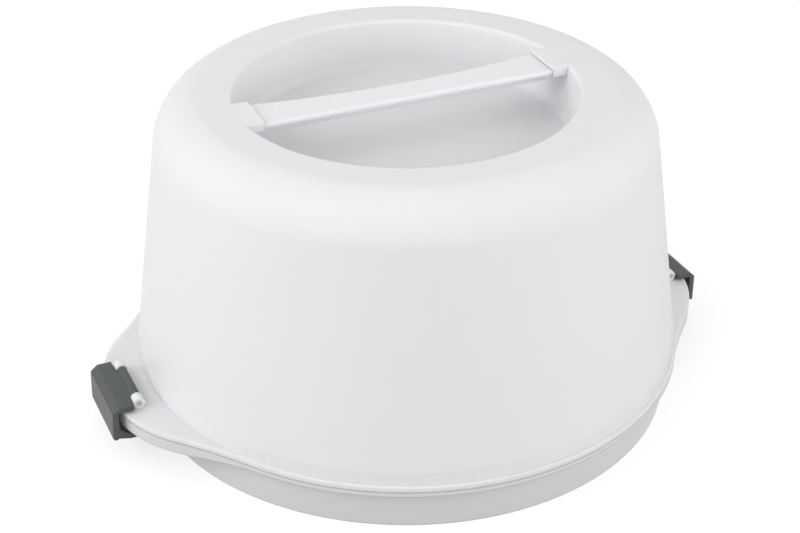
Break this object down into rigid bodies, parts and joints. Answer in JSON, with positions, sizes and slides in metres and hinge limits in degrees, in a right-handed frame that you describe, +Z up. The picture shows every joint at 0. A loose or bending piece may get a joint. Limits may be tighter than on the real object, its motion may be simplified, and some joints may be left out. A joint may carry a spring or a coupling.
{
  "type": "cake carrier",
  "caption": "Round cake carrier: tray with ears, lift-off translucent dome cover with a carrying bar across its top recess, and side clips that swing on pins and hook under the ears.",
  "frame": {"origin": "centre of the tray's foot ring, on the surface that it stands on", "axes": "+Z up, X through both clips and along the carrying bar, Y across the bar"},
  "size_m": [0.3636, 0.31, 0.1782],
  "materials": {
    "tray_white": "opaque white moulded plastic, semi-gloss",
    "cover_translucent": "milky translucent moulded plastic, soft gloss",
    "pin_grey": "plain grey pin",
    "clip_grey": "dark grey moulded plastic, satin"
  },
  "bodies": {
    "tray": {"base_tray": "tray_white"},
    "cover": {"dome_cover": "cover_translucent", "carry_bar": "cover_translucent", "left_hinge_pin": "pin_grey", "right_hinge_pin": "pin_grey"},
    "left_clip_body": {"left_clip": "clip_grey"},
    "right_clip_body": {"right_clip": "clip_grey"}
  },
  "joints": [
    {"name": "cover_lift", "type": "slide", "parent": "tray", "child": "cover", "axis": [0, 0, 1], "range_m": [0, 0.2]},
    {"name": "left_clip_swing", "type": "hinge", "parent": "cover", "child": "left_clip_body", "pos_m": [-0.1654, 0, 0.0315], "axis": [0, 1, 0], "range_deg": [0, 110]},
    {"name": "right_clip_swing", "type": "hinge", "parent": "cover", "child": "right_clip_body", "pos_m": [0.1654, 0, 0.0315], "axis": [0, -1, 0], "range_deg": [0, 110]}
  ]
}
